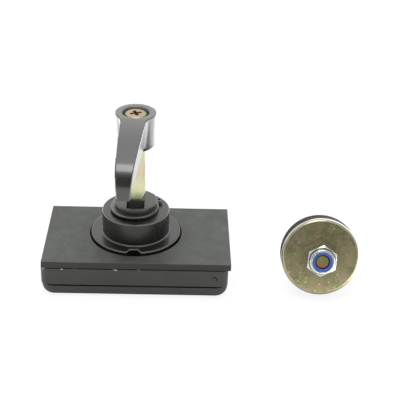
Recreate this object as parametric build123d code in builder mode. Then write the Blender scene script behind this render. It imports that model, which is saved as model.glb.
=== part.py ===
from build123d import *
import math
import os

# Cab window latch: a flat base that seals against a window pane, a turning spindle
# with a lever on it, and the separate keeper that belongs to it.
# The spindle's axis stands on Z and meets the ground, z = 0, at the origin.
# The lever points towards -Y at rest, and the keeper lies to the +X side.

# Driving sizes of the base
base_width = 86.05
base_depth = 50.4
base_x = 0.45
base_y = -2.4
cover_height = 6.7
case_top = 15.8
gasket_top = 19.0
gasket_size = (86.5, 51.0)
gasket_x = 1.25
gasket_hole_r = 21.8
wall = 2.6
floor = 2.5
rim = 1.3

# Driving sizes of the bearing, which passes through the pane
flange_r = 21.15
flange_top = 20.5
collar_r = 15.8
collar_top = 31.95
spigot_r = 15.0
bush_r = 10.9
rotor_r = 10.0
rotor_top = 36.7
running_gap = 0.05

# Driving sizes of the lever
lever_turn = 90.0
lever_rest_angle = 5.2
boss_top = 81.65
boss_bottom = 64.9
boss_top_r = 9.45
boss_bottom_r = 8.75
strap_width = 8.9
strap_thickness = 3.0

# Driving sizes of the keeper
keeper_r = 18.0
keeper_x = 85.94
keeper_y = -21.86
keeper_lean = 17.34
keeper_turn = -1.58

# Screw sizes: M3 and M5 shank and head radii
m3_r = 1.45
m3_head_r = 2.75
m3_head = 1.9
m4_r = 1.95
m5_r = 2.46

# Height of the inside of the case's roof
roof_under = case_top - wall

os.makedirs("parts", exist_ok=True)

# Places of the four screws that hold the cover to the case
case_screw_x = 69.0
case_screw_y = 34.6
case_boss_r = 3.8

# Places of the four screws that hold the bearing housing
housing_screw_circle = 18.8
housing_screw_tip = 19.3

# Lower cover: a shallow tray with a rounded bottom edge and a rim that locates the case
cover_corner_r = 6.0
cover_edge_r = 4.0
cover_wall = wall + rim
counterbore_r = 3.1
counterbore = 2.6
rim_top = cover_height + 1.3
seam_gap = 0.8
seam_depth = 1.2

with BuildPart() as lower_cover:
    with BuildSketch(Plane.XY) as cover_outline:
        with Locations((base_x, base_y)):
            RectangleRounded(base_width, base_depth, cover_corner_r)
    extrude(amount=cover_height)
    fillet(lower_cover.faces().sort_by(Axis.Z)[0].edges(), cover_edge_r)
    with BuildSketch(Plane.XY.offset(cover_height)) as seam_groove:
        with Locations((base_x, base_y)):
            RectangleRounded(base_width + 1, base_depth + 1, cover_corner_r)
            RectangleRounded(base_width - 2 * seam_depth, base_depth - 2 * seam_depth,
                             cover_corner_r - seam_depth, mode=Mode.SUBTRACT)
    extrude(amount=-seam_gap, mode=Mode.SUBTRACT)
    with BuildSketch(Plane.XY.offset(cover_height)) as rim_outline:
        with Locations((base_x, base_y)):
            RectangleRounded(base_width - 2 * wall - 0.2, base_depth - 2 * wall - 0.2, 1.9)
    extrude(amount=rim_top - cover_height)
    with BuildSketch(Plane.XY.offset(floor)) as cover_pocket:
        with Locations((base_x, base_y)):
            RectangleRounded(base_width - 2 * cover_wall, base_depth - 2 * cover_wall, 1.5)
    extrude(amount=rim_top, mode=Mode.SUBTRACT)
    with BuildSketch(Plane.XY.offset(floor)) as cover_bosses:
        with Locations((base_x, base_y)):
            with GridLocations(case_screw_x, case_screw_y, 2, 2):
                Circle(case_boss_r + 0.8)
    extrude(amount=cover_height - floor)
    with BuildSketch(Plane.XY) as cover_counterbores:
        with Locations((base_x, base_y)):
            with GridLocations(case_screw_x, case_screw_y, 2, 2):
                Circle(counterbore_r)
    extrude(amount=counterbore, mode=Mode.SUBTRACT)
    with BuildSketch(Plane.XY) as cover_holes:
        with Locations((base_x, base_y)):
            with GridLocations(case_screw_x, case_screw_y, 2, 2):
                Circle(m3_r + 0.2)
    extrude(amount=cover_height, mode=Mode.SUBTRACT)
lower_cover.part.label = "lower_cover"
export_step(lower_cover.part, "parts/lower_cover.step")

# Case body: a box open below, with screw bosses, ribs and the two posts that stop the turn
case_corner_r = 3.0
post_r = 2.2
post_circle = 17.2
post_bottom = 7.9
lug_width = 7.0
stop_gap = 0.1
stop_angle = lever_turn + math.degrees(math.asin((lug_width / 2 + post_r + stop_gap) / post_circle))
rib_bottom = 9.5
rib_thickness = 1.5
rib_places = (-31.0, -24.5, 24.5, 31.0)
gasket_gap = 0.6
gasket_gap_depth = 1.5
gate_mark_r = 1.4
gate_mark_width = 0.55
gate_mark_depth = 0.6
gate_mark_turn = -35.0
gate_mark_x = 37.2
gate_mark_z = 10.8
case_front = base_y - base_depth / 2

with BuildPart() as case_body:
    with BuildSketch(Plane.XY.offset(cover_height)) as case_outline:
        with Locations((base_x, base_y)):
            RectangleRounded(base_width, base_depth, case_corner_r)
    extrude(amount=case_top - cover_height)
    with BuildSketch(Plane.XY.offset(case_top)) as gasket_rebate:
        with Locations((base_x, base_y)):
            RectangleRounded(base_width + 1, base_depth + 1, case_corner_r)
            RectangleRounded(base_width - 2 * gasket_gap_depth, base_depth - 2 * gasket_gap_depth,
                             case_corner_r - gasket_gap_depth, mode=Mode.SUBTRACT)
    extrude(amount=-gasket_gap, mode=Mode.SUBTRACT)
    with BuildSketch(Plane.XY.offset(cover_height)) as case_pocket:
        with Locations((base_x, base_y)):
            RectangleRounded(base_width - 2 * wall, base_depth - 2 * wall, 2.0)
    extrude(amount=roof_under - cover_height, mode=Mode.SUBTRACT)
    with BuildSketch(Plane.XY.offset(cover_height)) as case_bosses:
        with Locations((base_x, base_y)):
            with GridLocations(case_screw_x, case_screw_y, 2, 2):
                Circle(case_boss_r)
    extrude(amount=roof_under - cover_height)
    with BuildSketch(Plane.XY.offset(rib_bottom)) as case_ribs:
        for x in rib_places:
            with Locations((x, base_y)):
                Rectangle(rib_thickness, base_depth - 2 * wall)
    extrude(amount=roof_under - rib_bottom)
    with BuildSketch(Plane.XY.offset(post_bottom)) as stop_posts:
        with PolarLocations(post_circle, 2, start_angle=stop_angle - 90, angular_range=360 - 2 * stop_angle,
                            endpoint=True):
            Circle(post_r)
    extrude(amount=roof_under - post_bottom)
    with BuildSketch(Plane.XY.offset(roof_under)) as case_opening:
        Circle(spigot_r + running_gap)
        with PolarLocations(housing_screw_circle, 4, start_angle=45):
            Circle(m3_r + 0.2)
    extrude(amount=wall, mode=Mode.SUBTRACT)
    with BuildSketch(Plane.XY.offset(cover_height)) as case_pilots:
        with Locations((base_x, base_y)):
            with GridLocations(case_screw_x, case_screw_y, 2, 2):
                Circle(m3_r + 0.02)
    extrude(amount=case_top - cover_height - 1.2, mode=Mode.SUBTRACT)
    gate_mark_plane = Plane((gate_mark_x, case_front, gate_mark_z), x_dir=(1, 0, 0), z_dir=(0, -1, 0))
    with BuildSketch(gate_mark_plane) as gate_mark:
        Circle(gate_mark_r)
        Circle(gate_mark_r - gate_mark_width, mode=Mode.SUBTRACT)
        with Locations(Rotation(0, 0, gate_mark_turn)):
            with Locations((0, -gate_mark_r)):
                Rectangle(3 * gate_mark_r, 2 * gate_mark_r, mode=Mode.SUBTRACT)
    extrude(amount=-gate_mark_depth, mode=Mode.SUBTRACT)
case_body.part.label = "case_body"
export_step(case_body.part, "parts/case_body.step")

# Case screws: pan heads sunk in the cover, driven up into the case's corner bosses
case_screw_tip = case_top - 1.9

with BuildPart() as case_screws:
    with BuildSketch(Plane.XY.offset(counterbore - m3_head)) as case_screw_heads:
        with Locations((base_x, base_y)):
            with GridLocations(case_screw_x, case_screw_y, 2, 2):
                Circle(m3_head_r)
    extrude(amount=m3_head)
    chamfer(case_screws.faces().group_by(Axis.Z)[0].edges(), 0.5)
    with BuildSketch(Plane.XY.offset(counterbore)) as case_screw_shanks:
        with Locations((base_x, base_y)):
            with GridLocations(case_screw_x, case_screw_y, 2, 2):
                Circle(m3_r)
    extrude(amount=case_screw_tip - counterbore)
    with BuildSketch(Plane.XY.offset(counterbore - m3_head)) as case_screw_recesses:
        with Locations((base_x, base_y)):
            with GridLocations(case_screw_x, case_screw_y, 2, 2):
                Rectangle(3.0, 0.7)
                Rectangle(0.7, 3.0)
    extrude(amount=1.1, mode=Mode.SUBTRACT)
case_screws.part.label = "case_screws"
export_step(case_screws.part, "parts/case_screws.step")

# Gasket sheet: die-cut rubber, square corners, a clear hole for the housing's flange
with BuildPart() as gasket_sheet:
    with BuildSketch(Plane.XY.offset(case_top)) as gasket_outline:
        with Locations((gasket_x, base_y)):
            Rectangle(*gasket_size)
        Circle(gasket_hole_r, mode=Mode.SUBTRACT)
    extrude(amount=gasket_top - case_top)
gasket_sheet.part.label = "gasket_sheet"
export_step(gasket_sheet.part, "parts/gasket_sheet.step")

# Bearing housing: flange on the case, collar through the pane, spigot in the case's roof
bush_flange_r = 12.8
bush_flange = 0.8
seal_inner_r = 15.4
seal_outer_r = 17.0
seal_depth = 1.2
notch_x = -0.2
notch_outer = 7.6
notch_inner = 3.8
notch_depth = 2.9
notch_corner_r = 0.9
flange_round = 0.7

with BuildPart() as bearing_housing:
    with BuildSketch(Plane.XZ) as housing_section:
        with BuildLine():
            Polyline(
                (bush_r, roof_under + bush_flange),
                (bush_flange_r, roof_under + bush_flange),
                (bush_flange_r, roof_under),
                (spigot_r, roof_under),
                (spigot_r, case_top),
                (flange_r, case_top),
                (flange_r, flange_top),
                (collar_r, flange_top),
                (collar_r, collar_top),
                (bush_r, collar_top),
                close=True,
            )
        make_face()
    revolve(axis=Axis.Z)
    collar_rims = bearing_housing.edges().filter_by(GeomType.CIRCLE).filter_by(
        lambda edge: abs(edge.radius - collar_r) < 0.01)
    fillet(collar_rims, flange_round)
    with BuildSketch(Plane.XY.offset(case_top)) as flange_notch:
        with BuildLine():
            Polyline(
                (notch_x - notch_outer / 2, -flange_r - 0.5),
                (notch_x - notch_inner / 2, -flange_r + notch_depth),
                (notch_x + notch_inner / 2, -flange_r + notch_depth),
                (notch_x + notch_outer / 2, -flange_r - 0.5),
                close=True,
            )
        make_face()
        fillet(flange_notch.vertices().group_by(Axis.Y)[-1], notch_corner_r)
    extrude(amount=flange_top - case_top, mode=Mode.SUBTRACT)
    flange_face = bearing_housing.faces().filter_by(
        lambda face: abs(face.center().Z - flange_top) < 0.01).sort_by(SortBy.AREA)[-1]
    fillet(flange_face.outer_wire().edges(), flange_round)
    with BuildSketch(Plane.XY.offset(case_top)) as seal_groove:
        Circle(seal_outer_r)
        Circle(seal_inner_r, mode=Mode.SUBTRACT)
    extrude(amount=seal_depth, mode=Mode.SUBTRACT)
    with BuildSketch(Plane.XY.offset(case_top)) as housing_tappings:
        with PolarLocations(housing_screw_circle, 4, start_angle=45):
            Circle(m3_r + 0.02)
    extrude(amount=housing_screw_tip + 0.3 - case_top, mode=Mode.SUBTRACT)
bearing_housing.part.label = "bearing_housing"
export_step(bearing_housing.part, "parts/bearing_housing.step")

# Housing screws: four pan heads under the case's roof, up into the flange
with BuildPart() as housing_screws:
    with BuildSketch(Plane.XY.offset(roof_under - m3_head)) as housing_screw_heads:
        with PolarLocations(housing_screw_circle, 4, start_angle=45):
            Circle(m3_head_r)
    extrude(amount=m3_head)
    chamfer(housing_screws.faces().group_by(Axis.Z)[0].edges(), 0.5)
    with BuildSketch(Plane.XY.offset(roof_under)) as housing_screw_shanks:
        with PolarLocations(housing_screw_circle, 4, start_angle=45):
            Circle(m3_r)
    extrude(amount=housing_screw_tip - roof_under)
    with BuildSketch(Plane.XY.offset(roof_under - m3_head)) as housing_screw_recesses:
        with PolarLocations(housing_screw_circle, 4, start_angle=45):
            Rectangle(3.0, 0.7)
            Rectangle(0.7, 3.0)
    extrude(amount=1.1, mode=Mode.SUBTRACT)
housing_screws.part.label = "housing_screws"
export_step(housing_screws.part, "parts/housing_screws.step")

# Housing seal: a rubber ring squeezed into the groove under the flange
with BuildPart() as housing_seal:
    with BuildSketch(Plane.XZ) as seal_section:
        with Locations(((seal_inner_r + seal_outer_r) / 2, case_top + seal_depth / 2)):
            RectangleRounded(seal_outer_r - seal_inner_r - 0.1, seal_depth, 0.45)
    revolve(axis=Axis.Z)
housing_seal.part.label = "housing_seal"
export_step(housing_seal.part, "parts/housing_seal.step")

# Bearing bush: flanged sleeve that lines the collar and stands a little above it
bush_top = 32.6

with BuildPart() as bearing_bush:
    with BuildSketch(Plane.XZ) as bush_section:
        with BuildLine():
            Polyline(
                (rotor_r + running_gap, roof_under),
                (bush_flange_r, roof_under),
                (bush_flange_r, roof_under + bush_flange),
                (bush_r, roof_under + bush_flange),
                (bush_r, bush_top),
                (rotor_r + running_gap, bush_top),
                close=True,
            )
        make_face()
    revolve(axis=Axis.Z)
bearing_bush.part.label = "bearing_bush"
export_step(bearing_bush.part, "parts/bearing_bush.step")

# Thrust washer: flat plastic ring against the bush's flange
thrust_washer_thickness = 0.6
thrust_washer_under = roof_under - thrust_washer_thickness
washer_bore_r = 10.4

with BuildPart() as thrust_washer:
    with BuildSketch(Plane.XY.offset(thrust_washer_under)) as thrust_washer_outline:
        Circle(14.0)
        Circle(washer_bore_r, mode=Mode.SUBTRACT)
    extrude(amount=thrust_washer_thickness)
thrust_washer.part.label = "thrust_washer"
export_step(thrust_washer.part, "parts/thrust_washer.step")

# Spring washer: dished steel ring that presses the rotor down and so holds the lever by friction
shoulder_top = 11.8
spring_washer_r = 12.7
spring_washer_thickness = 0.5

with BuildPart() as spring_washer:
    with BuildSketch(Plane.XZ) as spring_washer_section:
        with BuildLine():
            Polyline(
                (washer_bore_r, thrust_washer_under - spring_washer_thickness),
                (spring_washer_r, shoulder_top),
                (spring_washer_r, shoulder_top + spring_washer_thickness),
                (washer_bore_r, thrust_washer_under),
                close=True,
            )
        make_face()
    revolve(axis=Axis.Z)
spring_washer.part.label = "spring_washer"
export_step(spring_washer.part, "parts/spring_washer.step")

# Rotor: turned cylinder with a shoulder, a square tail and a deep slot for the strap
shoulder_r = 13.0
shoulder_bottom = 9.8
tail_side = 9.0
tail_bottom = 7.9
groove_r = 9.3
ring_thickness = 1.2
slot_width = 8.2
slot_length = 17.4
slot_upper_depth = 2.8
slot_lower_length = 16.4
slot_bottom = 22.5
pin_r = 1.5
pin_height = 28.0
tapping_top = 15.6

with BuildPart() as rotor:
    with BuildSketch(Plane.XZ) as rotor_section:
        with BuildLine():
            Polyline(
                (0, shoulder_bottom),
                (shoulder_r, shoulder_bottom),
                (shoulder_r, shoulder_top),
                (rotor_r, shoulder_top),
                (rotor_r, bush_top),
                (groove_r, bush_top),
                (groove_r, bush_top + ring_thickness),
                (rotor_r, bush_top + ring_thickness),
                (rotor_r, rotor_top),
                (0, rotor_top),
                close=True,
            )
        make_face()
    revolve(axis=Axis.Z)
    fillet(rotor.faces().sort_by(Axis.Z)[-1].edges(), 0.5)
    with BuildSketch(Plane.XY.offset(tail_bottom)) as rotor_tail:
        Rectangle(tail_side, tail_side)
    extrude(amount=shoulder_bottom - tail_bottom)
    with BuildSketch(Plane.XY.offset(rotor_top)) as slot_mouth:
        RectangleRounded(slot_width, slot_length, 0.3)
    extrude(amount=-slot_upper_depth, mode=Mode.SUBTRACT)
    with BuildSketch(Plane.XY.offset(rotor_top)) as slot_well:
        RectangleRounded(slot_width, slot_lower_length, 1.4)
    extrude(amount=slot_bottom - rotor_top, mode=Mode.SUBTRACT)
    with BuildSketch(Plane.XZ.offset(-rotor_r)) as pin_hole:
        with Locations((0, pin_height)):
            Circle(pin_r)
    extrude(amount=2 * rotor_r, mode=Mode.SUBTRACT)
    with BuildSketch(Plane.XY.offset(tail_bottom)) as tail_tapping:
        Circle(m4_r + 0.02)
    extrude(amount=tapping_top - tail_bottom, mode=Mode.SUBTRACT)
rotor.part.label = "rotor"
export_step(rotor.part, "parts/rotor.step")

# Retaining ring: open spring-steel ring, thicker opposite its gap, with two eared ends
ring_gap_angle = 40.0
ear_spread = 13.0
ear_circle = 12.0
ear_r = 1.55
ear_hole_r = 0.8
ring_outer_r = 11.3
ring_shift = 0.8

with BuildPart() as retaining_ring:
    with BuildSketch(Plane.XY.offset(bush_top)) as ring_outline:
        with Locations((-ring_shift * math.cos(math.radians(ring_gap_angle)),
                        -ring_shift * math.sin(math.radians(ring_gap_angle)))):
            Circle(ring_outer_r)
        with PolarLocations(ear_circle, 2, start_angle=ring_gap_angle - ear_spread,
                            angular_range=2 * ear_spread, endpoint=True):
            Circle(ear_r)
            with Locations((-1.0, 0)):
                Rectangle(2.0, 2 * ear_r)
        Circle(groove_r + running_gap, mode=Mode.SUBTRACT)
        with PolarLocations(ear_circle, 1, start_angle=ring_gap_angle):
            Rectangle(6.0, 2.2, mode=Mode.SUBTRACT)
        with PolarLocations(ear_circle, 2, start_angle=ring_gap_angle - ear_spread,
                            angular_range=2 * ear_spread, endpoint=True):
            Circle(ear_hole_r, mode=Mode.SUBTRACT)
    extrude(amount=ring_thickness)
retaining_ring.part.label = "retaining_ring"
export_step(retaining_ring.part, "parts/retaining_ring.step")

# Spindle strap: stamped flat bar, shouldered where it enters the rotor
tenon_half = 2.85
tenon_top = 38.0
shoulder_end = 41.4
strap_foot = 23.0
strap_head = 69.6

with BuildPart() as spindle_strap:
    with BuildSketch(Plane.XZ.offset(-strap_thickness / 2)) as strap_outline:
        with BuildLine():
            Polyline(
                (-tenon_half, strap_foot),
                (tenon_half, strap_foot),
                (tenon_half, tenon_top),
                (strap_width / 2, shoulder_end),
                (strap_width / 2, strap_head),
                (-strap_width / 2, strap_head),
                (-strap_width / 2, shoulder_end),
                (-tenon_half, tenon_top),
                close=True,
            )
        make_face()
        with Locations((0, pin_height)):
            Circle(pin_r, mode=Mode.SUBTRACT)
    extrude(amount=strap_thickness)
    long_edges = spindle_strap.edges().filter_by(Axis.Z).filter_by(lambda edge: edge.length > 25)
    fillet(long_edges, 0.35)
spindle_strap.part.label = "spindle_strap"
export_step(spindle_strap.part, "parts/spindle_strap.step")

# Strap sleeve: dark moulded filler that centres the strap's foot in the slot and stands a little above it
sleeve_width = 8.1
sleeve_depth = 5.6
sleeve_top = 37.8

with BuildPart() as strap_sleeve:
    with BuildSketch(Plane.XY.offset(slot_bottom)) as sleeve_outline:
        RectangleRounded(sleeve_width, sleeve_depth, 0.5)
    extrude(amount=sleeve_top - slot_bottom)
    with BuildSketch(Plane.XY.offset(strap_foot)) as sleeve_mortise:
        Rectangle(2 * tenon_half, strap_thickness)
    extrude(amount=sleeve_top - strap_foot, mode=Mode.SUBTRACT)
    with BuildSketch(Plane.XZ.offset(-rotor_r)) as sleeve_pin_hole:
        with Locations((0, pin_height)):
            Circle(pin_r)
    extrude(amount=2 * rotor_r, mode=Mode.SUBTRACT)
strap_sleeve.part.label = "strap_sleeve"
export_step(strap_sleeve.part, "parts/strap_sleeve.step")

# Strap pin: dowel through rotor, sleeve and strap
pin_length = 19.2

with BuildPart() as strap_pin:
    with BuildSketch(Plane.XZ.offset(-pin_length / 2)) as pin_section:
        with Locations((0, pin_height)):
            Circle(pin_r)
    extrude(amount=pin_length)
    chamfer(strap_pin.edges(), 0.25)
strap_pin.part.label = "strap_pin"
export_step(strap_pin.part, "parts/strap_pin.step")

# Lever: directions along the arm and across it, at rest
rest = math.radians(lever_rest_angle)
along_arm = Vector(-math.sin(rest), -math.cos(rest), 0)
across_arm = Vector(math.cos(rest), -math.sin(rest), 0)
arm_block = 24.0
arm_side_plane = Plane((0, 0, 0), x_dir=along_arm, z_dir=-across_arm).offset(-arm_block / 2)
arm_plan_plane = Plane((0, 0, boss_top), x_dir=along_arm, z_dir=(0, 0, 1))
arm_root_half = 6.1
arm_narrowing = 0.033
arm_draft = 4.5
arm_height = 26.0
arm_end = 48.0
lever_wall = 2.0


def arm_half(u, inset):
    """Half the arm's width at the height of the boss's top, at the distance u along the arm."""
    return arm_root_half - arm_narrowing * u - inset


# Hollow under the arm, open below, taken out of the lever
hollow_start = 11.0
hollow_end = 37.7
hollow_mouth = boss_top - 23.0

with BuildPart() as arm_hollow:
    with BuildSketch(arm_side_plane) as hollow_side:
        with BuildLine():
            Polyline(
                (hollow_start, hollow_mouth),
                (hollow_start, boss_top - 3.4),
                (14.3, boss_top - 4.1),
                (25.2, boss_top - 7.6),
                (32.0, boss_top - 10.3),
                (35.2, boss_top - 12.3),
                (hollow_end, boss_top - 16.2),
                (hollow_end, hollow_mouth),
                close=True,
            )
        make_face()
    extrude(amount=arm_block)
    with BuildSketch(arm_plan_plane) as hollow_plan:
        with BuildLine():
            Polyline(
                (0, arm_half(0, lever_wall)),
                (arm_end, arm_half(arm_end, lever_wall)),
                (arm_end, -arm_half(arm_end, lever_wall)),
                (0, -arm_half(0, lever_wall)),
                close=True,
            )
        make_face()
    extrude(amount=-arm_height, taper=arm_draft, mode=Mode.INTERSECT)

# Lever handle: one moulding with a boss, open below, and a sloping arm whose tip bends down
crown_start = 6.4
crown_end = 41.63
arm_under = boss_top - 14.8
tip_bottom = boss_top - 22.9
tip_front = 41.75
root_circle_r = boss_top_r - 0.1
root_round = 8.0
boss_bottom_round = 2.2
recess_r = 6.15
recess_floor = 77.9
ferrule_r = 6.2
ferrule_flats = 10.6
ferrule_top = 73.5

with BuildPart() as lever_handle:
    with BuildSketch(arm_side_plane) as arm_side:
        with BuildLine():
            underside = Spline(
                (5.5, arm_under),
                (16.9, boss_top - 15.9),
                (21.2, boss_top - 17.3),
                (26.0, boss_top - 18.4),
                (31.5, boss_top - 18.5),
                (36.4, boss_top - 17.9),
            )
            Polyline(underside @ 1, (38.1, tip_bottom + 4.5), (38.5, tip_bottom), (arm_end, tip_bottom))
            Polyline((arm_end, tip_bottom), (arm_end, boss_top), (0, boss_top), (0, arm_under), underside @ 0)
        make_face()
    extrude(amount=arm_block)
    with BuildSketch(arm_plan_plane) as arm_plan:
        with BuildLine():
            Polyline(
                (-5, arm_half(-5, 0)),
                (arm_end, arm_half(arm_end, 0)),
                (arm_end, -arm_half(arm_end, 0)),
                (-5, -arm_half(-5, 0)),
                close=True,
            )
        make_face()
        Circle(root_circle_r)
        fillet(arm_plan.vertices().filter_by(lambda corner: 1 < corner.X < boss_top_r and abs(corner.Y) > 1),
               root_round)
    extrude(amount=-arm_height, taper=arm_draft, mode=Mode.INTERSECT)
    with BuildSketch(Plane.XZ) as boss_section:
        with BuildLine():
            Polyline(
                (0, boss_bottom),
                (boss_bottom_r, boss_bottom),
                (boss_top_r, boss_top),
                (0, boss_top),
                close=True,
            )
        make_face()
    revolve(axis=Axis.Z)
    with BuildSketch(arm_side_plane) as above_the_crown:
        with BuildLine():
            crown = Spline(
                (crown_start, boss_top),
                (9.84, boss_top - 0.37),
                (14.26, boss_top - 1.2),
                (19.44, boss_top - 2.57),
                (25.22, boss_top - 4.52),
                (30.67, boss_top - 6.56),
                (33.9, boss_top - 7.84),
                (35.28, boss_top - 8.48),
                (36.33, boss_top - 9.11),
                (37.99, boss_top - 10.4),
                (39.09, boss_top - 11.71),
                (40.21, boss_top - 13.96),
                (40.98, boss_top - 16.09),
                (41.34, boss_top - 18.62),
                (crown_end, boss_top - 21.84),
                tangents=((1, -0.03), (0.08, -1)),
            )
            Polyline(crown @ 1, (tip_front, tip_bottom - 1), (arm_end + 1, tip_bottom - 1))
            Polyline((arm_end + 1, tip_bottom - 1), (arm_end + 1, boss_top + 1), (crown_start, boss_top + 1))
            Polyline((crown_start, boss_top + 1), crown @ 0)
        make_face()
    extrude(amount=arm_block, mode=Mode.SUBTRACT)
    fillet(lever_handle.edges().filter_by(GeomType.CIRCLE).sort_by(Axis.Z)[0], boss_bottom_round)
    fillet(lever_handle.faces().filter_by(lambda face: face.center().Z < tip_bottom + 0.1).edges(), 1.0)
    add(arm_hollow.part, mode=Mode.SUBTRACT)
    with BuildSketch(Plane.XY.offset(boss_top)) as screw_recess:
        Circle(recess_r)
    extrude(amount=recess_floor - boss_top, mode=Mode.SUBTRACT)
    with BuildSketch(Plane.XY.offset(boss_bottom)) as ferrule_socket:
        Circle(ferrule_r + running_gap)
        Rectangle(2 * ferrule_r + 1, ferrule_flats + 2 * running_gap, mode=Mode.INTERSECT)
    extrude(amount=ferrule_top - boss_bottom, mode=Mode.SUBTRACT)
    with BuildSketch(Plane.XY.offset(ferrule_top)) as screw_clearance:
        Circle(m5_r + 0.2)
    extrude(amount=recess_floor - ferrule_top, mode=Mode.SUBTRACT)
lever_handle.part.label = "lever_handle"
export_step(lever_handle.part, "parts/lever_handle.step")

# Strap ferrule: steel plug with two flats, brazed on the strap's end and tapped for the screw
ferrule_bottom = 65.9

with BuildPart() as strap_ferrule:
    with BuildSketch(Plane.XY.offset(ferrule_bottom)) as ferrule_outline:
        Circle(ferrule_r)
        Rectangle(2 * ferrule_r + 1, ferrule_flats, mode=Mode.INTERSECT)
    extrude(amount=ferrule_top - ferrule_bottom)
    with BuildSketch(Plane.XY.offset(ferrule_bottom)) as ferrule_slot:
        Rectangle(strap_width, strap_thickness)
    extrude(amount=strap_head - ferrule_bottom, mode=Mode.SUBTRACT)
    with BuildSketch(Plane.XY.offset(ferrule_top)) as ferrule_tapping:
        Circle(m5_r + 0.02)
    extrude(amount=strap_head - ferrule_top, mode=Mode.SUBTRACT)
strap_ferrule.part.label = "strap_ferrule"
export_step(strap_ferrule.part, "parts/strap_ferrule.step")

# Handle screw: pan head with a cross recess, almost flush with the boss
screw_head_under = 78.9
screw_head_top = 81.15
screw_head_r = 5.0
screw_head_round = 0.7
screw_tip = 69.8
cross_length = 5.4
cross_width = 1.6
cross_depth = 2.2
cross_turn = 20.0

with BuildPart() as handle_screw:
    with BuildSketch(Plane.XZ) as screw_section:
        with BuildLine():
            head_shoulder = (screw_head_r, screw_head_top - screw_head_round)
            head_side = Line((screw_head_r, screw_head_under), head_shoulder)
            head_dome = ThreePointArc(
                head_shoulder,
                (screw_head_r - 0.3, screw_head_top - 0.2),
                (screw_head_r - 1.0, screw_head_top),
            )
            Polyline(
                head_dome @ 1,
                (0, screw_head_top),
                (0, screw_tip),
                (m5_r - 0.6, screw_tip),
                (m5_r, screw_tip + 0.6),
                (m5_r, screw_head_under),
                head_side @ 0,
            )
        make_face()
    revolve(axis=Axis.Z)
    with BuildSketch(Plane.XY.offset(screw_head_top)) as screw_cross:
        Rectangle(cross_length, cross_width, rotation=cross_turn)
        Rectangle(cross_width, cross_length, rotation=cross_turn)
    extrude(amount=-cross_depth, mode=Mode.SUBTRACT)
handle_screw.part.label = "handle_screw"
export_step(handle_screw.part, "parts/handle_screw.step")

# Handle lock washer: split ring under the screw's head
lock_washer_r = 4.7
lock_washer_split = 0.8

with BuildPart() as handle_lock_washer:
    with BuildSketch(Plane.XY.offset(recess_floor)) as lock_washer_outline:
        Circle(lock_washer_r)
        Circle(m5_r + 0.15, mode=Mode.SUBTRACT)
        with Locations((0, lock_washer_r)):
            Rectangle(lock_washer_split, 2 * lock_washer_r - 1, mode=Mode.SUBTRACT)
    extrude(amount=screw_head_under - recess_floor)
handle_lock_washer.part.label = "handle_lock_washer"
export_step(handle_lock_washer.part, "parts/handle_lock_washer.step")

# Stop plate: disc on the rotor's square tail, with the lug that meets the posts
stop_plate_r = 14.0
stop_plate_thickness = 2.0
stop_plate_under = shoulder_bottom - stop_plate_thickness
lug_reach = 18.0

with BuildPart() as stop_plate:
    with BuildSketch(Plane.XY.offset(stop_plate_under)) as stop_plate_outline:
        Circle(stop_plate_r)
        with Locations((0, -lug_reach / 2)):
            Rectangle(lug_width, lug_reach)
        Rectangle(tail_side, tail_side, mode=Mode.SUBTRACT)
    extrude(amount=stop_plate_thickness)
stop_plate.part.label = "stop_plate"
export_step(stop_plate.part, "parts/stop_plate.step")

# Tail washer and screw: they clamp the stop plate to the rotor
tail_washer_thickness = 0.8
tail_washer_under = stop_plate_under - tail_washer_thickness
tail_head_r = 3.8
tail_head = 2.4

with BuildPart() as tail_washer:
    with BuildSketch(Plane.XY.offset(tail_washer_under)) as tail_washer_outline:
        Circle(7.5)
        Circle(m4_r + 0.15, mode=Mode.SUBTRACT)
    extrude(amount=tail_washer_thickness)
tail_washer.part.label = "tail_washer"
export_step(tail_washer.part, "parts/tail_washer.step")

with BuildPart() as tail_screw:
    with BuildSketch(Plane.XY.offset(tail_washer_under - tail_head)) as tail_screw_head:
        Circle(tail_head_r)
    extrude(amount=tail_head)
    chamfer(tail_screw.faces().sort_by(Axis.Z)[0].edges(), 0.6)
    with BuildSketch(Plane.XY.offset(tail_washer_under)) as tail_screw_shank:
        Circle(m4_r)
    extrude(amount=tapping_top - 0.6 - tail_washer_under)
    with BuildSketch(Plane.XY.offset(tail_washer_under - tail_head)) as tail_screw_recess:
        Rectangle(4.2, 0.9)
        Rectangle(0.9, 4.2)
    extrude(amount=1.4, mode=Mode.SUBTRACT)
tail_screw.part.label = "tail_screw"
export_step(tail_screw.part, "parts/tail_screw.step")

# Keeper: its axis leans back, so that it rests on the rear washer's rim and on the stud's head.
# Its plane has the steel washer's front face at height 0 and points towards the nut.
lean = math.radians(keeper_lean)
turn = math.radians(keeper_turn)
steel_thickness = 3.0
rubber_thickness = 3.5
stack = steel_thickness + 2 * rubber_thickness
keeper_axis = Vector(math.sin(turn) * math.cos(lean), -math.cos(turn) * math.cos(lean), math.sin(lean))
keeper_z = keeper_r * math.cos(lean) + stack * math.sin(lean)
keeper_right = Vector(math.cos(turn), math.sin(turn), 0)
keeper_plane = Plane((keeper_x, keeper_y, keeper_z), x_dir=keeper_right, z_dir=keeper_axis)
keeper_line = Axis(keeper_plane.origin, keeper_axis)
m8_r = 4.0
stud_head_r = 8.0
stud_head = 3.5
stud_back = stack + (keeper_r - stud_head_r) / math.tan(lean)
stud_tip = 4.6
stud_end = 7.1
stud_end_r = 3.33
backing_r = 12.0
backing_thickness = 1.5
nut_flats = 13.0
nut_hex = 6.2
nut_face_r = 6.35
nut_bevel_drop = 0.75
nut_collar_r = 5.9
nut_lip_round = 0.6
nut_height = 8.0
nut_bore = 5.4
nut_turn = 86.2
insert_r = 4.7
insert_bore_r = 3.4

# Keeper's steel washer: a plain blanked disc, with its front rim rolled round
washer_front_round = 1.4
washer_back_round = 0.3

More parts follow.
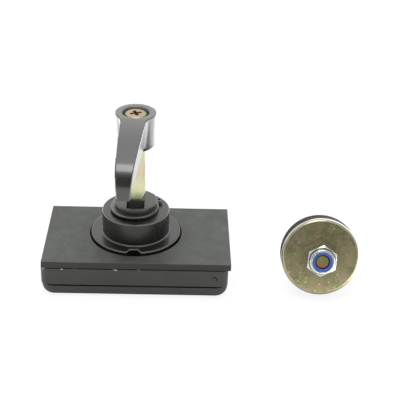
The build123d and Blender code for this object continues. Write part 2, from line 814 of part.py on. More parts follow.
with BuildPart() as steel_washer:
    with BuildSketch(keeper_plane) as steel_washer_outline:
        Circle(keeper_r)
        Circle(m8_r + 0.2, mode=Mode.SUBTRACT)
    extrude(amount=-steel_thickness)
    washer_rims = steel_washer.edges().filter_by(GeomType.CIRCLE).group_by(SortBy.RADIUS)[-1]
    washer_back, washer_front = washer_rims.sort_by(keeper_line)
    fillet(washer_front, washer_front_round)
    fillet(washer_back, washer_back_round)
steel_washer.part.label = "steel_washer"
export_step(steel_washer.part, "parts/steel_washer.step")

# Keeper's front rubber washer, between the steel washer and the pane
with BuildPart() as front_rubber_washer:
    with BuildSketch(keeper_plane.offset(-steel_thickness)) as front_rubber_outline:
        Circle(keeper_r)
        Circle(m8_r + 0.15, mode=Mode.SUBTRACT)
    extrude(amount=-rubber_thickness)
front_rubber_washer.part.label = "front_rubber_washer"
export_step(front_rubber_washer.part, "parts/front_rubber_washer.step")

# Keeper's rear rubber washer, on the pane's other side
with BuildPart() as rear_rubber_washer:
    with BuildSketch(keeper_plane.offset(-steel_thickness - rubber_thickness)) as rear_rubber_outline:
        Circle(keeper_r)
        Circle(m8_r + 0.15, mode=Mode.SUBTRACT)
    extrude(amount=-rubber_thickness)
rear_rubber_washer.part.label = "rear_rubber_washer"
export_step(rear_rubber_washer.part, "parts/rear_rubber_washer.step")

# Backing washer behind the rear rubber
with BuildPart() as backing_washer:
    with BuildSketch(keeper_plane.offset(-stack)) as backing_outline:
        Circle(backing_r)
        Circle(m8_r + 0.2, mode=Mode.SUBTRACT)
    extrude(amount=-backing_thickness)
backing_washer.part.label = "backing_washer"
export_step(backing_washer.part, "parts/backing_washer.step")

# Spacer sleeve between the backing washer and the stud's head
with BuildPart() as keeper_sleeve:
    with BuildSketch(keeper_plane.offset(-stack - backing_thickness)) as sleeve_section:
        Circle(6.0)
        Circle(m8_r + 0.1, mode=Mode.SUBTRACT)
    extrude(amount=-(stud_back - stud_head - stack - backing_thickness))
keeper_sleeve.part.label = "keeper_sleeve"
export_step(keeper_sleeve.part, "parts/keeper_sleeve.step")

# Keeper stud: round head at the back, plain shank through the stack, and a bevelled end that the insert grips
with BuildPart() as keeper_stud:
    with BuildSketch(keeper_plane.offset(-stud_back)) as stud_head_outline:
        Circle(stud_head_r)
    extrude(amount=stud_head)
    with BuildSketch(keeper_plane.offset(stud_head - stud_back)) as stud_shank:
        Circle(m8_r)
    extrude(amount=stud_back - stud_head + stud_tip)
    chamfer(keeper_stud.faces().sort_by(keeper_line)[-1].edges(), 0.5)
    with BuildSketch(keeper_plane) as stud_gripped_end:
        Circle(stud_end_r)
    extrude(amount=stud_end)
    chamfer(keeper_stud.faces().sort_by(keeper_line)[-1].edges(), 0.6)
keeper_stud.part.label = "keeper_stud"
export_step(keeper_stud.part, "parts/keeper_stud.step")

# Nut with bevelled corners and a rolled collar that holds the insert
keeper_section = Plane(keeper_plane.origin, x_dir=keeper_plane.x_dir, z_dir=-keeper_plane.y_dir)
nut_corner_r = nut_flats / 2 + 1.1
lip_start = Vector(nut_collar_r - 0.15, nut_height - nut_lip_round)
lip_end = Vector(nut_collar_r - 0.15 - nut_lip_round, nut_height)

with BuildPart() as nyloc_nut:
    with BuildSketch(keeper_plane) as nut_outline:
        RegularPolygon(nut_flats / 2, 6, major_radius=False, rotation=nut_turn)
    extrude(amount=nut_hex)
    with BuildSketch(keeper_section) as nut_bevel:
        with BuildLine():
            Polyline(
                (0, 0),
                (nut_corner_r, 0),
                (nut_corner_r, nut_hex - nut_bevel_drop),
                (nut_face_r, nut_hex),
                (0, nut_hex),
                close=True,
            )
        make_face()
    revolve(axis=keeper_line, mode=Mode.INTERSECT)
    with BuildSketch(keeper_section) as nut_collar:
        with BuildLine():
            Polyline((nut_collar_r, nut_hex), lip_start)
            RadiusArc(lip_start, lip_end, -nut_lip_round)
            Polyline(lip_end, (0, nut_height), (0, nut_hex), (nut_collar_r, nut_hex))
        make_face()
    revolve(axis=keeper_line)
    with BuildSketch(keeper_plane) as nut_thread:
        Circle(m8_r + 0.02)
    extrude(amount=nut_height, mode=Mode.SUBTRACT)
    with BuildSketch(keeper_plane.offset(nut_bore)) as nut_seat:
        Circle(insert_r)
    extrude(amount=nut_height - nut_bore, mode=Mode.SUBTRACT)
nyloc_nut.part.label = "nyloc_nut"
export_step(nyloc_nut.part, "parts/nyloc_nut.step")

# Nylon insert that grips the stud's thread
with BuildPart() as nylon_insert:
    with BuildSketch(keeper_plane.offset(nut_bore)) as insert_outline:
        Circle(insert_r)
        Circle(insert_bore_r, mode=Mode.SUBTRACT)
    extrude(amount=nut_height - nut_bore - 0.4)
nylon_insert.part.label = "nylon_insert"
export_step(nylon_insert.part, "parts/nylon_insert.step")
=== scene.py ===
import math

import bpy
from mathutils import Matrix, Vector


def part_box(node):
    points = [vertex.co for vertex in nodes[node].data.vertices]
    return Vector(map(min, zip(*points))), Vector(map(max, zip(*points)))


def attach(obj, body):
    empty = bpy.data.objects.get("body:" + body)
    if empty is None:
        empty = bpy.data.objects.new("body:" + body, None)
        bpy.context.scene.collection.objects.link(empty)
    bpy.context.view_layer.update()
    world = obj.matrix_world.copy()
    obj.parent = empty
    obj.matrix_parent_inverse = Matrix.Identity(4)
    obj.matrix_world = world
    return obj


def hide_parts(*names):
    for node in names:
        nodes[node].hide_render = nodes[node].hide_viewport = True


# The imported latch, in metres: the spindle's axis stands on Z and the ground is z = 0.
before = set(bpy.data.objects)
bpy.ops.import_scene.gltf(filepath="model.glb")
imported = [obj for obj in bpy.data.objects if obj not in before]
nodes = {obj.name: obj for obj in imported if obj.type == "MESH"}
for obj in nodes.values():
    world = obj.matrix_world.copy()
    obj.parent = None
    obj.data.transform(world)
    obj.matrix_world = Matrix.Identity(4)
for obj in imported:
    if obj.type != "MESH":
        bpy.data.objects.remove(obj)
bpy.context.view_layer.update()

# Base: the case and its lower cover, two black ABS mouldings that meet at a seam.
# Four screws from below hold the cover, and crumbs of white glue from the gasket stick
# along the case's upper edge.
MM = 0.001
case_top_mm = 15.2


def linear(hex_colour):
    """An sRGB hex colour as linear red, green and blue with alpha."""
    parts = [int(hex_colour[i:i + 2], 16) / 255 for i in (1, 3, 5)]
    return (*[p / 12.92 if p <= 0.04045 else ((p + 0.055) / 1.055) ** 2.4 for p in parts], 1.0)


def add_node(tree, kind, inputs=None, **settings):
    """Adds a shader node with its settings, and gives each input a value or a link.

    Inputs go by name or by number. In a Mix, 0 is the share and 6 and 7 are the two
    colours. In Math and VectorMath, 0 and 1 are the two terms.
    """
    made = tree.nodes.new("ShaderNode" + kind)
    for name, value in settings.items():
        setattr(made, name, value)
    for key, value in (inputs or {}).items():
        if isinstance(value, bpy.types.NodeSocket):
            tree.links.new(value, made.inputs[key])
        else:
            made.inputs[key].default_value = value
    return made


def new_material(name):
    """A new node material: returns the material, its node tree and its surface shader."""
    material = bpy.data.materials.new(name)
    material.use_nodes = True
    tree = material.node_tree
    return material, tree, tree.nodes["Principled BSDF"]


def finish_with(node_names, material):
    """Gives CAD nodes their material in place of the plain one."""
    for name in node_names:
        mesh = nodes[name].data
        mesh.materials.clear()
        mesh.materials.append(material)


def soften_edges(node_names, radius_mm):
    """Rounds the crisp edges of CAD nodes, as a mould or a tumbling drum leaves them."""
    closing_gap_mm = 0.002
    sharpest_curve = math.radians(35.0)
    for name in node_names:
        weld = nodes[name].modifiers.new("closed skin", "WELD")
        weld.merge_threshold = closing_gap_mm * MM
        bevel = nodes[name].modifiers.new("soft edges", "BEVEL")
        bevel.width = radius_mm * MM
        bevel.segments = 3
        bevel.limit_method = "ANGLE"
        bevel.angle_limit = sharpest_curve
        bevel.harden_normals = True


def moulded_abs(name, dark, light, roughness, grain_mm, grain_depth=0.22, highlight_colour="#3d3d3a", glue_mm=None):
    """ABS or nylon from a spark-eroded tool: an even black with small pale grain and faint bloom.

    The real grain is near 0.1 mm. It is drawn grain_mm wide, as coarse as it needs to show.
    Upper edges are painted lighter, in the given highlight colour: a painted highlight.
    glue_mm is a height, at which crumbs of white glue stick.
    """
    bloom_mm, crumb_mm, relief_mm = 14, 2.4, 0.05
    material, tree, shader = new_material(name)
    place = add_node(tree, "TexCoord").outputs["Object"]
    bloom = add_node(tree, "TexNoise", {"Vector": place, "Scale": 1 / (bloom_mm * MM), "Detail": 5.0,
                                        "Roughness": 0.6})
    bloom_share = add_node(tree, "MapRange", {"Value": bloom.outputs["Fac"], "From Min": 0.35,
                                              "From Max": 0.75})
    colour = add_node(tree, "Mix", {0: bloom_share.outputs["Result"], 6: linear(dark), 7: linear(light)},
                      data_type="RGBA")
    grain = add_node(tree, "TexNoise", {"Vector": place, "Scale": 1 / (grain_mm * MM), "Detail": 3.0})
    speck = add_node(tree, "MapRange", {"Value": grain.outputs["Fac"], "From Min": 0.62, "From Max": 0.8,
                                        "To Max": 0.9 * grain_depth})
    grained = add_node(tree, "Mix", {0: speck.outputs["Result"], 6: colour.outputs[2],
                                     7: linear("#6f6f6b")}, data_type="RGBA")
    gloss = add_node(tree, "MapRange", {"Value": bloom.outputs["Fac"], "To Min": roughness - 0.08,
                                        "To Max": roughness + 0.08})
    bump = add_node(tree, "Bump", {"Height": grain.outputs["Fac"], "Strength": grain_depth,
                                   "Distance": relief_mm * MM})

    # The product of up and not up is largest on slanted faces: the rounded upper edges.
    # There the colour is painted lighter, as a painted highlight.
    normal = add_node(tree, "NewGeometry").outputs["Normal"]
    upward = add_node(tree, "SeparateXYZ", {0: normal}).outputs["Z"]
    not_up = add_node(tree, "Math", {0: 1.0, 1: upward}, operation="SUBTRACT")
    slanted = add_node(tree, "Math", {0: upward, 1: not_up.outputs["Value"]}, operation="MULTIPLY")
    wear_and_highlight = add_node(tree, "MapRange", {"Value": slanted.outputs["Value"], "From Min": 0.1,
                                         "From Max": 0.22})
    last = add_node(tree, "Mix", {0: wear_and_highlight.outputs["Result"], 6: grained.outputs[2], 7: linear(highlight_colour)},
                    data_type="RGBA").outputs[2]
    if glue_mm is not None:
        height = add_node(tree, "SeparateXYZ", {0: place})
        off_line = add_node(tree, "Math", {0: height.outputs["Z"], 1: glue_mm * MM}, operation="SUBTRACT")
        away = add_node(tree, "Math", {0: off_line.outputs["Value"]}, operation="ABSOLUTE")
        band = add_node(tree, "MapRange", {"Value": away.outputs["Value"], "From Min": 0.25 * MM,
                                           "From Max": 0.5 * MM, "To Min": 1.0, "To Max": 0.0})
        crumbs = add_node(tree, "TexNoise", {"Vector": place, "Scale": 1 / (crumb_mm * MM), "Detail": 2.0})
        crumb_share = add_node(tree, "MapRange", {"Value": crumbs.outputs["Fac"], "From Min": 0.63,
                                                  "From Max": 0.67})
        glued = add_node(tree, "Math", {0: band.outputs["Result"], 1: crumb_share.outputs["Result"]},
                         operation="MULTIPLY")
        last = add_node(tree, "Mix", {0: glued.outputs["Value"], 6: last, 7: linear("#c9c9c4")},
                        data_type="RGBA").outputs[2]
    tree.links.new(last, shader.inputs["Base Color"])
    tree.links.new(gloss.outputs["Result"], shader.inputs["Roughness"])
    tree.links.new(bump.outputs["Normal"], shader.inputs["Normal"])
    shader.inputs["IOR"].default_value = 1.53
    return material


# ABS, moulded in a spark-eroded tool: matt, so its faces read as one soft grey, with a
# painted highlight along the upper edges.
base_abs = moulded_abs("ABS moulded black case", "#282a26", "#323430", 0.5, 0.35, glue_mm=case_top_mm)
finish_with(["case_body", "lower_cover"], base_abs)
soften_edges(["case_body", "lower_cover"], 0.25)

# Gasket and seal ring: black EPDM rubber. The gasket is die cut from sheet and glued on the
# case, where it seals against the pane. The ring is squeezed into a groove under the flange.


def sheet_rubber(name, dark, bloom_colour, cut_colour, drag_axis, face_direction):
    """EPDM cut from sheet: the rolled faces look dusty with bloom, the cut edges dark and drawn.

    The rolled faces lie across face_direction, and the die's drag lines run along drag_axis.
    Grain, lines and dust are under 0.1 mm on real rubber, and are drawn as coarse as they
    need to show.
    """
    patch_mm, dust_mm, grain_mm, relief_mm = 9, 5, 0.4, 0.05
    line_width_mm, line_length_mm = 0.25, 6
    material, tree, shader = new_material(name)
    place = add_node(tree, "TexCoord").outputs["Object"]
    patches = add_node(tree, "TexNoise", {"Vector": place, "Scale": 1 / (patch_mm * MM), "Detail": 7.0,
                                          "Roughness": 0.65})
    share = add_node(tree, "MapRange", {"Value": patches.outputs["Fac"], "From Min": 0.3, "From Max": 0.7})
    colour = add_node(tree, "Mix", {0: share.outputs["Result"], 6: linear(dark), 7: linear(bloom_colour)},
                      data_type="RGBA")
    dust_and_painted_light = add_node(tree, "TexVoronoi", {"Vector": place, "Scale": 1 / (dust_mm * MM)})
    dust_share = add_node(tree, "MapRange", {"Value": dust_and_painted_light.outputs["Distance"], "From Min": 0.04,
                                             "From Max": 0.07, "To Min": 0.45, "To Max": 0.0})
    dusted = add_node(tree, "Mix", {0: dust_share.outputs["Result"], 6: colour.outputs[2],
                                    7: linear("#8d8d88")}, data_type="RGBA")
    grain = add_node(tree, "TexNoise", {"Vector": place, "Scale": 1 / (grain_mm * MM), "Detail": 4.0})
    stretch = [1 / (line_width_mm * MM)] * 3
    stretch[drag_axis] = 1 / (line_length_mm * MM)
    lines_place = add_node(tree, "Mapping", {"Vector": place, "Scale": stretch})
    lines = add_node(tree, "TexNoise", {"Vector": lines_place.outputs["Vector"], "Scale": 1.0,
                                        "Detail": 2.0})
    relief = add_node(tree, "Math", {0: grain.outputs["Fac"], 1: lines.outputs["Fac"]}, operation="ADD")
    bump = add_node(tree, "Bump", {"Height": relief.outputs["Value"], "Strength": 0.4,
                                   "Distance": relief_mm * MM})
    gloss = add_node(tree, "MapRange", {"Value": grain.outputs["Fac"], "To Min": 0.5, "To Max": 0.68})
    normal = add_node(tree, "NewGeometry").outputs["Normal"]
    facing = add_node(tree, "VectorMath", {0: normal, 1: face_direction}, operation="DOT_PRODUCT")
    on_face = add_node(tree, "Math", {0: facing.outputs["Value"]}, operation="ABSOLUTE")
    face_share = add_node(tree, "MapRange", {"Value": on_face.outputs["Value"], "From Min": 0.3,
                                             "From Max": 0.8})
    last = add_node(tree, "Mix", {0: face_share.outputs["Result"], 6: linear(cut_colour),
                                  7: dusted.outputs[2]}, data_type="RGBA")
    tree.links.new(last.outputs[2], shader.inputs["Base Color"])
    tree.links.new(gloss.outputs["Result"], shader.inputs["Roughness"])
    tree.links.new(bump.outputs["Normal"], shader.inputs["Normal"])
    shader.inputs["IOR"].default_value = 1.52
    return material


# The sheet lies flat, so its top is the bloomed face and its lines run upright, along Z.
upright_axis = 2
gasket_rubber = sheet_rubber("EPDM sheet die cut", "#282b27", "#3f423d", "#1c1d1a", upright_axis, (0, 0, 1))
finish_with(["gasket_sheet", "housing_seal"], gasket_rubber)
soften_edges(["gasket_sheet"], 0.15)

# Bearing housing: flange and collar in one black glass-filled nylon moulding, which passes
# through the pane and is held by four screws from inside the case.
# Smoother than the case, it looks darker, and its rounded edges are painted lighter as thin
# rings of painted highlight.
housing_abs = moulded_abs("glass filled nylon housing", "#131411", "#1a1b17", 0.28, 0.3, 0.03,
                          highlight_colour="#5a5a56")
finish_with(["bearing_housing"], housing_abs)
soften_edges(["bearing_housing"], 0.2)

# Bush and thrust washer: turned from black acetal bar. The bush lines the collar, and the
# washer lies against its flange. Both are an even dark grey, a little waxy.
bush_acetal = moulded_abs("turned acetal bush", "#242423", "#2c2c2b", 0.4, 0.5)
finish_with(["bearing_bush", "thrust_washer"], bush_acetal)

# Rotor: the black nylon cylinder that turns in the collar, with a slot for the strap.
# The tool is polished, so its top is smooth, and its rim is painted a little paler, a painted
# highlight.
rotor_nylon = moulded_abs("moulded nylon rotor", "#222420", "#2c2e29", 0.34, 0.3, 0.04, highlight_colour="#4a4a47")
finish_with(["rotor"], rotor_nylon)
soften_edges(["rotor"], 0.15)

# Strap sleeve: a nylon moulding that centres the strap's foot in the rotor's slot and stands
# a little above it. It is dull and dusty, so it is paler than the rotor where light reaches it.
sleeve_nylon = moulded_abs("moulded nylon sleeve", "#454540", "#4f4f49", 0.6, 0.4)
finish_with(["strap_sleeve"], sleeve_nylon)

# Retaining ring and spring washer: spring steel, blanked, hardened and phosphated.
# The open ring snaps into the rotor's groove. The dished washer presses the rotor down and
# gives the turn its friction.


def phosphated_steel(name):
    """Manganese-phosphated spring steel: charcoal grey, with the low sheen of an oil film.

    The real crystals are near 0.02 mm, and are drawn as coarse as they need to show.
    """
    crystal_mm, oil_mm, relief_mm = 0.25, 4, 0.03
    material, tree, shader = new_material(name)
    place = add_node(tree, "TexCoord").outputs["Object"]
    crystals = add_node(tree, "TexVoronoi", {"Vector": place, "Scale": 1 / (crystal_mm * MM)})
    oil = add_node(tree, "TexNoise", {"Vector": place, "Scale": 1 / (oil_mm * MM), "Detail": 4.0})
    colour = add_node(tree, "Mix", {0: oil.outputs["Fac"], 6: linear("#484846"), 7: linear("#767672")},
                      data_type="RGBA")
    gloss = add_node(tree, "MapRange", {"Value": oil.outputs["Fac"], "To Min": 0.3, "To Max": 0.5})
    bump = add_node(tree, "Bump", {"Height": crystals.outputs["Distance"], "Strength": 0.2,
                                   "Distance": relief_mm * MM})
    tree.links.new(colour.outputs[2], shader.inputs["Base Color"])
    tree.links.new(gloss.outputs["Result"], shader.inputs["Roughness"])
    tree.links.new(bump.outputs["Normal"], shader.inputs["Normal"])
    shader.inputs["Metallic"].default_value = 0.85
    return material


ring_steel = phosphated_steel("phosphated spring steel")
finish_with(["retaining_ring", "spring_washer"], ring_steel)
soften_edges(["retaining_ring"], 0.12)

# Spindle strap: a stamped steel bar, pinned in the rotor, with the lever screwed to its end.
# It is zinc plated and yellow passivated, and is greenest at the foot, where the bath
# drained and the film is thickest.


def passivated_zinc(name, straw, green, pink, roughness, metallic=1.0, green_below_mm=None, grime=None,
                    pale_rim=None, patch_mm=9, wear=0.11, knock_mm=0.16):
    """Yellow passivated zinc: a thin film that shifts between straw, green and pink in patches.

    Patches are patch_mm across. Fine rolling lines along Z darken and lighten the film by the
    share wear. Knocks are pale dots, knock_mm in radius. Real lines and knocks are near
    0.1 mm, and are drawn as coarse as they need to show.
    Below green_below_mm the film turns green. Inside pale_rim, a centre and a radius in mm,
    the film is whole, and outside it the rim is painted paler: film worn off by tumbling, and a
    painted highlight. grime is a centre, a radius, the height below which brown dirt has
    settled, and the height over which it thins out.
    """
    knock_spacing_mm, crystal_mm, relief_mm, drain_mm = 2.6, 0.9, 0.03, 12
    line_width_mm, line_length_mm = 0.4, 7
    material, tree, shader = new_material(name)
    shader.inputs["Metallic"].default_value = metallic
    place = add_node(tree, "TexCoord").outputs["Object"]
    film = add_node(tree, "TexNoise", {"Vector": place, "Scale": 1 / (patch_mm * MM), "Detail": 3.0,
                                       "Distortion": 0.6})
    second = add_node(tree, "TexNoise", {"Vector": place, "Scale": 1.5 / (patch_mm * MM), "Detail": 2.0,
                                         "Roughness": 0.4})
    green_share = add_node(tree, "MapRange", {"Value": film.outputs["Fac"], "From Min": 0.42,
                                              "From Max": 0.62})
    pink_share = add_node(tree, "MapRange", {"Value": second.outputs["Fac"], "From Min": 0.55,
                                             "From Max": 0.72, "To Max": 0.8})
    base = add_node(tree, "Mix", {0: green_share.outputs["Result"], 6: linear(straw), 7: linear(green)},
                    data_type="RGBA")
    colour = add_node(tree, "Mix", {0: pink_share.outputs["Result"], 6: base.outputs[2], 7: linear(pink)},
                      data_type="RGBA")
    across, along = 1 / (line_width_mm * MM), 1 / (line_length_mm * MM)
    lines_place = add_node(tree, "Mapping", {"Vector": place, "Scale": (across, across, along)})
    lines = add_node(tree, "TexNoise", {"Vector": lines_place.outputs["Vector"], "Scale": 1.0,
                                        "Detail": 2.0})
    line_shade = add_node(tree, "MapRange", {"Value": lines.outputs["Fac"], "From Min": 0.3,
                                             "From Max": 0.7, "To Min": 1.0 - wear, "To Max": 1.0 + wear})
    lined = add_node(tree, "VectorMath", {0: colour.outputs[2], "Scale": line_shade.outputs["Result"]},
                     operation="SCALE")
    knocks = add_node(tree, "TexVoronoi", {"Vector": place, "Scale": 1 / (knock_spacing_mm * MM)})
    knock_share = add_node(tree, "MapRange", {"Value": knocks.outputs["Distance"],
                                              "From Min": knock_mm / knock_spacing_mm,
                                              "From Max": 2 * knock_mm / knock_spacing_mm,
                                              "To Min": 0.45, "To Max": 0.0})
    last = add_node(tree, "Mix", {0: knock_share.outputs["Result"], 6: lined.outputs["Vector"],
                                  7: linear("#e6e4cf")}, data_type="RGBA").outputs[2]
    crystals = add_node(tree, "TexNoise", {"Vector": place, "Scale": 1 / (crystal_mm * MM), "Detail": 3.0})
    relief = add_node(tree, "Math", {0: lines.outputs["Fac"], 1: crystals.outputs["Fac"]}, operation="ADD")
    bump = add_node(tree, "Bump", {"Height": relief.outputs["Value"], "Strength": 0.2,
                                   "Distance": relief_mm * MM})
    gloss = add_node(tree, "MapRange", {"Value": second.outputs["Fac"], "To Min": roughness - 0.08,
                                        "To Max": roughness + 0.1})
    height = add_node(tree, "SeparateXYZ", {0: place})
    if green_below_mm is not None:
        drained = add_node(tree, "MapRange", {"Value": height.outputs["Z"],
                                              "From Min": (green_below_mm - drain_mm) * MM,
                                              "From Max": green_below_mm * MM, "To Min": 0.95, "To Max": 0.0})
        last = add_node(tree, "Mix", {0: drained.outputs["Result"], 6: last, 7: linear("#eef3bf")},
                        data_type="RGBA").outputs[2]
    if grime is not None:
        centre, radius_mm, top_mm, blend_mm = grime
        settled = add_node(tree, "MapRange", {"Value": height.outputs["Z"],
                                              "From Min": (top_mm - blend_mm) * MM,
                                              "From Max": top_mm * MM, "To Min": 1.0, "To Max": 0.0})
        spread = add_node(tree, "VectorMath", {0: place, 1: centre}, operation="DISTANCE")
        in_recess = add_node(tree, "MapRange", {"Value": spread.outputs["Value"],
                                                "From Min": (radius_mm - 0.2) * MM,
                                                "From Max": radius_mm * MM, "To Min": 1.0, "To Max": 0.0})
        packed = add_node(tree, "Math", {0: settled.outputs["Result"], 1: in_recess.outputs["Result"]},
                          operation="MULTIPLY")
        last = add_node(tree, "Mix", {0: packed.outputs["Value"], 6: last, 7: linear("#7c563c")},
                        data_type="RGBA").outputs[2]
        bare = add_node(tree, "Math", {0: 1.0, 1: packed.outputs["Value"]}, operation="SUBTRACT")
        tree.links.new(bare.outputs["Value"], shader.inputs["Metallic"])
    # The rim band is painted paler: film worn off by tumbling, and a painted highlight.
    if pale_rim is not None:
        centre, radius_mm = pale_rim
        spread = add_node(tree, "VectorMath", {0: place, 1: centre}, operation="DISTANCE")
        wear_and_highlight = add_node(tree, "MapRange", {"Value": spread.outputs["Value"],
                                             "From Min": (radius_mm - 0.3) * MM,
                                             "From Max": (radius_mm + 0.3) * MM})
        last = add_node(tree, "Mix", {0: wear_and_highlight.outputs["Result"], 6: last, 7: linear("#9c9985")},
                        data_type="RGBA").outputs[2]
    tree.links.new(last, shader.inputs["Base Color"])
    tree.links.new(gloss.outputs["Result"], shader.inputs["Roughness"])
    tree.links.new(bump.outputs["Normal"], shader.inputs["Normal"])
    return material


# The strap's film is thin and its zinc semi-bright: pale straw, with only a trace of pink.
strap_zinc = passivated_zinc("yellow passivated strap steel", "#d2caae", "#c8cd9f", "#dbc2ad", 0.42,
                             metallic=0.75, green_below_mm=50.0)
finish_with(["spindle_strap"], strap_zinc)

# Lever handle: a zinc die casting, shot blasted and coated satin black, and screwed to the
# strap. Its inner corners have the radii of the casting, which the solid leaves out.


def satin_coat(name):
    """Satin black stoved coat over a casting: smooth and glossier than the base, with orange peel.

    The recess round the screw, which stands on the Z axis, is painted grey: painted light on
    its shaded walls.
    """
    peel_mm, handling_mm, relief_mm, recess_mm = 1.1, 7, 0.05, 6.1
    material, tree, shader = new_material(name)
    place = add_node(tree, "TexCoord").outputs["Object"]
    peel = add_node(tree, "TexNoise", {"Vector": place, "Scale": 1 / (peel_mm * MM), "Detail": 2.0,
                                       "Roughness": 0.4})
    handling = add_node(tree, "TexNoise", {"Vector": place, "Scale": 1 / (handling_mm * MM), "Detail": 5.0})
    coat = add_node(tree, "Mix", {0: handling.outputs["Fac"], 6: linear("#171915"), 7: linear("#20221e")},
                    data_type="RGBA")
    off_axis = add_node(tree, "VectorMath", {0: place, 1: (1, 1, 0)}, operation="MULTIPLY")
    spread = add_node(tree, "VectorMath", {0: off_axis.outputs["Vector"]}, operation="LENGTH")
    # Painted light: inside the recess round the screw the coat is painted grey.
    dust_and_painted_light = add_node(tree, "MapRange", {"Value": spread.outputs["Value"], "From Min": recess_mm * MM,
                                       "From Max": (recess_mm + 0.4) * MM, "To Min": 0.8, "To Max": 0.0})
    colour = add_node(tree, "Mix", {0: dust_and_painted_light.outputs["Result"], 6: coat.outputs[2], 7: linear("#84827c")},
                      data_type="RGBA")
    gloss = add_node(tree, "MapRange", {"Value": handling.outputs["Fac"], "To Min": 0.26, "To Max": 0.36})
    bump = add_node(tree, "Bump", {"Height": peel.outputs["Fac"], "Strength": 0.15,
                                   "Distance": relief_mm * MM})
    tree.links.new(colour.outputs[2], shader.inputs["Base Color"])
    tree.links.new(gloss.outputs["Result"], shader.inputs["Roughness"])
    tree.links.new(bump.outputs["Normal"], shader.inputs["Normal"])
    shader.inputs["IOR"].default_value = 1.6
    shader.inputs["Coat Weight"].default_value = 0.65
    shader.inputs["Coat Roughness"].default_value = 0.2
    return material


lever_coat = satin_coat("satin black coated casting")
lever = bpy.data.objects.new("lever_casting", nodes["lever_handle"].data.copy())
bpy.context.scene.collection.objects.link(lever)
closed_skin = lever.modifiers.new("closed skin", "WELD")
closed_skin.merge_threshold = 0.002 * MM
even_skin = lever.modifiers.new("even skin", "REMESH")
even_skin.mode = "VOXEL"
even_skin.voxel_size = 0.35 * MM
even_skin.use_smooth_shade = True
cast_radii = lever.modifiers.new("cast radii", "SMOOTH")
cast_radii.factor = 0.5
cast_radii.iterations = 10
lever.data.materials.clear()
lever.data.materials.append(lever_coat)
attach(lever, "turning_set")
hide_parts("lever_handle")

# Handle screw and its lock washer: cold headed steel, yellow passivated, driven down into
# the strap's ferrule. Brown dirt is packed in the cross recess, up to just below the head's
# face.
cross_centre, cross_reach_mm, screw_face_mm = (0, 0, 80 * MM), 3.2, 80.95
screw_zinc = passivated_zinc("yellow passivated screw steel", "#9c8d77", "#90896b", "#ae8672", 0.42,
                             grime=(cross_centre, cross_reach_mm, screw_face_mm, 0.25))
finish_with(["handle_screw", "handle_lock_washer"], screw_zinc)
soften_edges(["handle_screw"], 0.12)

# Keeper's steel washers: blanked, tumbled, plated and yellow passivated, and clamped against
# the rubber by the nut and the stud. The film looks olive and brown, with tumbling knocks,
# and is painted paler round the rim: film worn off by tumbling, and a painted highlight.
washer_low, washer_high = (Vector(corner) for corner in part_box("steel_washer"))
washer_centre = (washer_low + washer_high) / 2
washer_zinc = passivated_zinc("yellow passivated washer steel", "#a39876", "#9b9c70", "#a38f78", 0.18,
                              metallic=0.75, pale_rim=(washer_centre, 17.0), patch_mm=5, wear=0.16,
                              knock_mm=0.27)
finish_with(["steel_washer", "backing_washer"], washer_zinc)

# Keeper's stud: cold headed steel with a rolled thread, put through the washers and the pane.
# Its film is thick and green, and its end in the nut is brown with dirt and grease.
insert_low, insert_high = (Vector(corner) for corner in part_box("nylon_insert"))
stud_end = (insert_low + insert_high) / 2
stud_grime = (stud_end, 4.2, stud_end.z / MM + 1.2, 2.4)
stud_zinc = passivated_zinc("yellow passivated stud steel", "#7c7c50", "#6d8046", "#775e4b", 0.34,
                            patch_mm=5, grime=stud_grime)
finish_with(["keeper_stud"], stud_zinc)

# Keeper's rubber washers: EPDM, die cut from thick sheet, one on each side of the pane.
# They are blacker and duller than the gasket, as clean new rubber is.
keeper_axis = (-0.026, -0.954, 0.298)
depth_axis = 1
keeper_rubber = sheet_rubber("EPDM washers die cut", "#282826", "#333330", "#0f0f0e", depth_axis, keeper_axis)
keeper_rubber.node_tree.nodes["Principled BSDF"].inputs["Specular IOR Level"].default_value = 0.1
finish_with(["front_rubber_washer", "rear_rubber_washer"], keeper_rubber)
soften_edges(["front_rubber_washer", "rear_rubber_washer"], 0.2)

# Lock nut: cold formed steel, bright zinc plated, with a collar rolled over a nylon ring.
# It is tightened on the stud until the rubber grips the pane.


